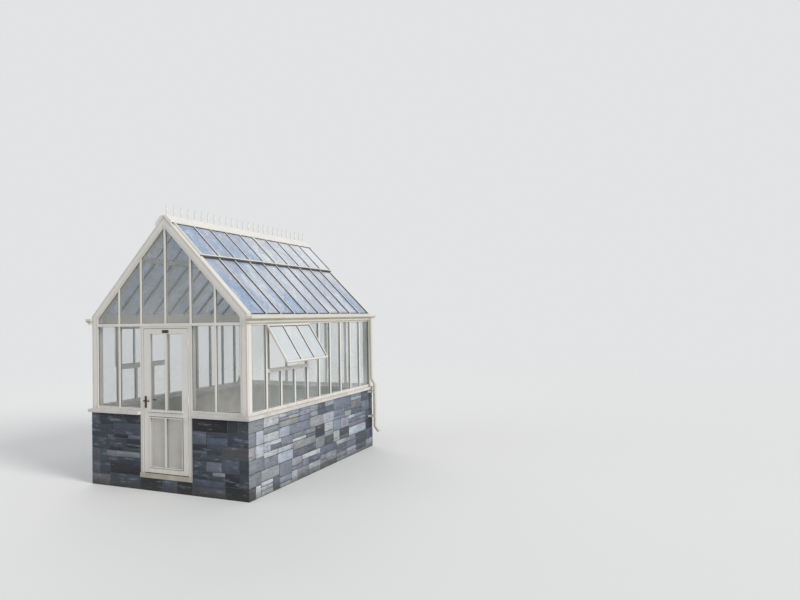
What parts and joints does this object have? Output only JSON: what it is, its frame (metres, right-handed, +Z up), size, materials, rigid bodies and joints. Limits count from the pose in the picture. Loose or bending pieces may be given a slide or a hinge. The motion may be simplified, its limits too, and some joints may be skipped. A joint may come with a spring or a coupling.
{
  "type": "glass greenhouse",
  "caption": "Glazed garden house with a pitched roof, ridge cresting, gutters and a hinged door, on a dwarf wall of slate.",
  "frame": {"origin": "middle of the plan, on the flat underside at the lowest ground beside the walls", "axes": "+Z up, the gable with the door faces -Y, +X to the right of someone facing the door"},
  "size_m": [3.3062, 3.75, 3.9739],
  "materials": {
    "slate_wall": "split slate laid in narrow joints",
    "sill_stone": "smooth pale sill",
    "paving": "riven flags",
    "painted_frame": "satin off-white paint",
    "painted_cast": "satin off-white paint",
    "painted_gutter": "satin off-white paint, slightly weathered",
    "painted_fittings": "satin off-white paint",
    "bronze_fittings": "dark bronze",
    "glass": "clear toughened glass",
    "roof_glass": "clear toughened glass that mirrors the sky"
  },
  "bodies": {
    "house": {"base_rails": "painted_frame", "corner_posts": "painted_frame", "door_frame": "painted_frame", "door_step": "sill_stone", "downpipe_left": "painted_gutter", "downpipe_right": "painted_gutter", "eave_plates": "painted_frame", "floor_slab": "paving", "gable_bars": "painted_frame", "gable_glass": "glass", "gable_rafters_back": "painted_frame", "gable_rafters_front": "painted_frame", "gable_transoms": "painted_frame", "gutter_left": "painted_gutter", "gutter_right": "painted_gutter", "hinges_on_jamb": "painted_fittings", "pipe_brackets": "painted_gutter", "ridge_beam": "painted_frame", "ridge_capping": "painted_cast", "ridge_cresting": "painted_cast", "roof_bars": "painted_frame", "roof_glass": "roof_glass", "roof_vent_glass": "roof_glass", "roof_vent_rails": "painted_frame", "roof_vents_left": "painted_frame", "roof_vents_right": "painted_frame", "side_bars": "painted_frame", "side_glass": "glass", "side_vent_left": "painted_frame", "side_vent_rails": "painted_frame", "side_vent_right": "painted_frame", "side_vent_stay": "painted_fittings", "sill_back": "sill_stone", "sill_front": "sill_stone", "sill_left": "sill_stone", "sill_right": "sill_stone", "wall_back": "slate_wall", "wall_front": "slate_wall", "wall_left": "slate_wall", "wall_right": "slate_wall"},
    "door": {"door_glass": "glass", "door_leaf": "painted_frame", "handle_plates": "bronze_fittings", "hinges_on_leaf": "painted_fittings"},
    "handle": {"door_handle": "bronze_fittings"}
  },
  "joints": [
    {"name": "door_swing", "type": "hinge", "parent": "house", "child": "door", "pos_m": [0.39375, -1.828, 1.275], "axis": [0, 0, 1], "range_deg": [0, 100]},
    {"name": "handle_turn", "type": "hinge", "parent": "door", "child": "handle", "pos_m": [-0.36, -1.822, 1.242], "axis": [0, 1, 0], "range_deg": [0, 35], "stiffness_Nm_per_rad": 1.2, "springref_deg": -20.05}
  ]
}
